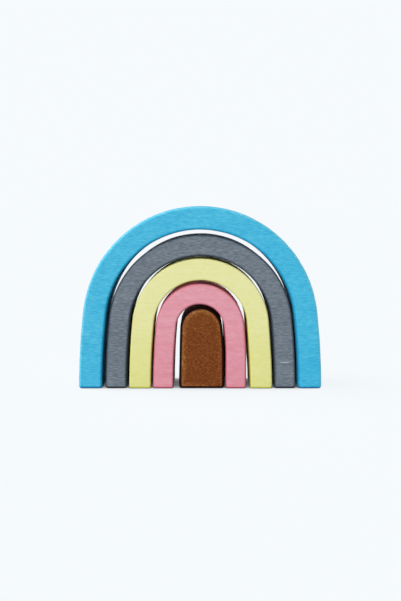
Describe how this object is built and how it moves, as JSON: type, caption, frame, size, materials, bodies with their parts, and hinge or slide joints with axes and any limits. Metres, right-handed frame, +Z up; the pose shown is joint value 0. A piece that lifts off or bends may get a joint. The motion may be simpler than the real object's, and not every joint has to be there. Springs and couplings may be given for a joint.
{
  "type": "rainbow stacker",
  "caption": "Nesting wooden arches in soft colours over a solid round-topped centre block, standing on flat feet, lifted apart and stacked as a toy.",
  "frame": {"origin": "on the floor, under the middle of the outer arch, halfway through the board's thickness", "axes": "+Z up; +X along the rainbow's width, to the right as seen from the front; +Y through the board's thickness, away from the front"},
  "size_m": [0.16, 0.03, 0.1202],
  "materials": {
    "brown_stain": "oiled brown wood stain, satin, grain showing",
    "pink_paint": "thin matt water-based colour in pink, grain showing",
    "yellow_paint": "thin matt water-based colour in pale yellow, grain showing faintly",
    "grey_paint": "thin matt water-based colour in slate grey, grain showing",
    "blue_paint": "thin matt water-based colour in sky blue, grain showing faintly"
  },
  "bodies": {
    "centre_block": {"centre_block": "brown_stain"},
    "inner_arch": {"inner_arch": "pink_paint"},
    "third_arch": {"third_arch": "yellow_paint"},
    "second_arch": {"second_arch": "grey_paint"},
    "outer_arch": {"outer_arch": "blue_paint"}
  },
  "joints": [
    {"name": "inner_arch_lift", "type": "slide", "parent": "centre_block", "child": "inner_arch", "axis": [0, 0, 1], "range_m": [0, 0.058]},
    {"name": "third_arch_lift", "type": "slide", "parent": "inner_arch", "child": "third_arch", "axis": [0, 0, 1], "range_m": [0, 0.075]},
    {"name": "second_arch_lift", "type": "slide", "parent": "third_arch", "child": "second_arch", "axis": [0, 0, 1], "range_m": [0, 0.092]},
    {"name": "outer_arch_lift", "type": "slide", "parent": "second_arch", "child": "outer_arch", "axis": [0, 0, 1], "range_m": [0, 0.108]}
  ]
}
